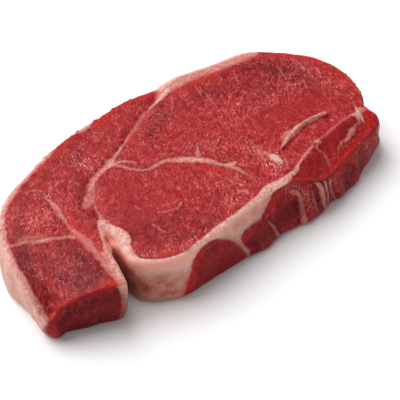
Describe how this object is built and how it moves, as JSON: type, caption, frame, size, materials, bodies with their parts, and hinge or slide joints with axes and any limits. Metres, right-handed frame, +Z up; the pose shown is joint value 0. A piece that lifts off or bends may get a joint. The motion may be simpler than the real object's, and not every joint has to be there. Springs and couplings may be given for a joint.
{
  "type": "top sirloin steak",
  "caption": "Raw boneless top sirloin steak: a thick oval slice with fat along its seams and rim, a sloping strip on its near edge and a slit by its fat end.",
  "frame": {"origin": "middle of the slice's box, on the face that it lies on", "axes": "+X along the slice, from its fat end towards its round end; +Y across it, towards the far side; +Z up"},
  "size_m": [0.2552, 0.1336, 0.0321],
  "materials": {
    "raw_beef": "moist, satin"
  },
  "bodies": {
    "root": {"steak": "raw_beef"}
  },
  "joints": []
}
